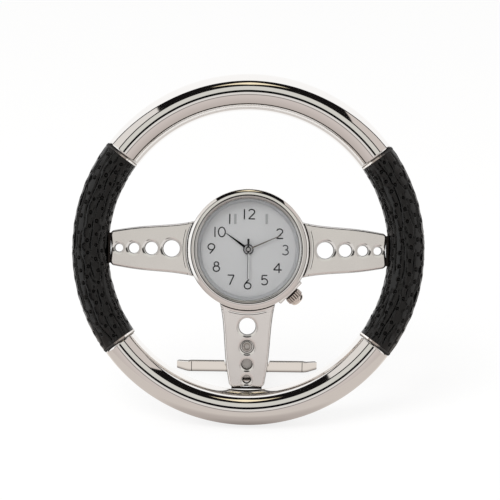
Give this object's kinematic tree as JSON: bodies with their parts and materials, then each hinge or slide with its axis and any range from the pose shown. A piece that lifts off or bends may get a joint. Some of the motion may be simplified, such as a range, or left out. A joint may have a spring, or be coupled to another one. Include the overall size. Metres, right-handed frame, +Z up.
{
  "type": "steering wheel clock",
  "caption": "Small desk clock shaped as a steering wheel: polished rim with black grips, drilled spokes, clock in the hub, crown, leaning on a rear foot.",
  "frame": {"origin": "middle of the footprint box, on the surface that the clock stands on", "axes": "+Z up, +X to the right as seen from the front, -Y towards the viewer, the wheel leaning back towards +Y"},
  "size_m": [0.0804, 0.0386, 0.0764],
  "materials": {
    "chrome": "polished plated zinc and steel",
    "leather": "glossy perforated leatherette",
    "rubber": "moulded",
    "crystal_glass": "clear polished",
    "dial_silver": "silver satin lacquer",
    "hand_dark": "polished black",
    "hand_pale": "polished",
    "steel": "plain steel",
    "magnet": "sintered magnet",
    "brass": "machined",
    "copper_wire": "enamelled copper wire",
    "movement_plastic": "moulded",
    "circuit": "solder mask"
  },
  "bodies": {
    "wheel_and_case": {"wheel_rim": "chrome", "wheel_spider": "chrome", "stand_bracket": "chrome", "stand_rivet": "chrome", "clock_case": "chrome", "bezel": "chrome", "grip_left": "leather", "grip_right": "leather", "insert_ring": "rubber", "crystal_gasket": "rubber", "case_back_gasket": "rubber", "crystal": "crystal_glass", "dial": "dial_silver", "dial_ring": "dial_silver", "case_back": "steel", "train_bridge": "steel", "bridge_screw_1": "steel", "bridge_screw_2": "steel", "stator": "steel", "coil_core": "steel", "quartz_can": "steel", "button_cell": "steel", "battery_clip": "steel", "setting_spring": "steel", "crown_tube": "brass", "coil_winding": "copper_wire", "movement_holder": "movement_plastic", "main_plate": "movement_plastic", "circuit_board": "circuit"},
    "seconds": {"seconds_wheel": "brass", "second_hand": "hand_pale"},
    "third": {"third_wheel": "brass"},
    "fifth": {"fifth_wheel": "brass"},
    "motor_rotor": {"rotor": "magnet"},
    "centre": {"centre_wheel": "brass"},
    "minutes": {"cannon_pinion": "brass", "minute_hand": "hand_dark"},
    "motion": {"motion_wheel": "movement_plastic"},
    "hours": {"hour_wheel": "brass", "hour_hand": "hand_dark"},
    "crown_seal": {"crown_gasket": "rubber"},
    "crown_and_stem": {"crown": "chrome", "setting_stem": "steel", "sliding_pinion": "steel"}
  },
  "joints": [
    {"name": "seconds_turn", "type": "hinge", "parent": "wheel_and_case", "child": "seconds", "pos_m": [0, -0.00399, 0.03825], "axis": [0, 0.9511, -0.309], "continuous": true},
    {"name": "third_turn", "type": "hinge", "parent": "wheel_and_case", "child": "third", "pos_m": [0.00122, -0.00333, 0.04027], "axis": [0, 0.9511, -0.309], "continuous": true},
    {"name": "fifth_turn", "type": "hinge", "parent": "wheel_and_case", "child": "fifth", "pos_m": [-0.0012, -0.00463, 0.03627], "axis": [0, 0.9511, -0.309], "continuous": true},
    {"name": "rotor_turn", "type": "hinge", "parent": "wheel_and_case", "child": "motor_rotor", "pos_m": [-0.0012, -0.00532, 0.03414], "axis": [0, 0.9511, -0.309], "continuous": true},
    {"name": "centre_turn", "type": "hinge", "parent": "wheel_and_case", "child": "centre", "pos_m": [0, -0.00399, 0.03825], "axis": [0, 0.9511, -0.309], "continuous": true},
    {"name": "minute_turn", "type": "hinge", "parent": "wheel_and_case", "child": "minutes", "pos_m": [0, -0.00399, 0.03825], "axis": [0, 0.9511, -0.309], "continuous": true},
    {"name": "motion_turn", "type": "hinge", "parent": "wheel_and_case", "child": "motion", "pos_m": [0.0017, -0.00451, 0.03663], "axis": [0, 0.9511, -0.309], "continuous": true},
    {"name": "hour_turn", "type": "hinge", "parent": "wheel_and_case", "child": "hours", "pos_m": [0, -0.00399, 0.03825], "axis": [0, 0.9511, -0.309], "continuous": true},
    {"name": "crown_pull", "type": "slide", "parent": "wheel_and_case", "child": "crown_seal", "axis": [0.7071, -0.2185, -0.6725], "range_m": [0, 0.0008]},
    {"name": "crown_turn", "type": "hinge", "parent": "crown_seal", "child": "crown_and_stem", "pos_m": [0, -0.00299, 0.03792], "axis": [0.7071, -0.2185, -0.6725], "continuous": true}
  ],
  "couplings": [
    {"joint": "rotor_turn", "follows": "seconds_turn", "ratio": 30},
    {"joint": "fifth_turn", "follows": "seconds_turn", "ratio": -5},
    {"joint": "third_turn", "follows": "seconds_turn", "ratio": -0.13333},
    {"joint": "centre_turn", "follows": "seconds_turn", "ratio": 0.016667},
    {"joint": "motion_turn", "follows": "minute_turn", "ratio": -0.33333},
    {"joint": "hour_turn", "follows": "minute_turn", "ratio": 0.083333}
  ]
}
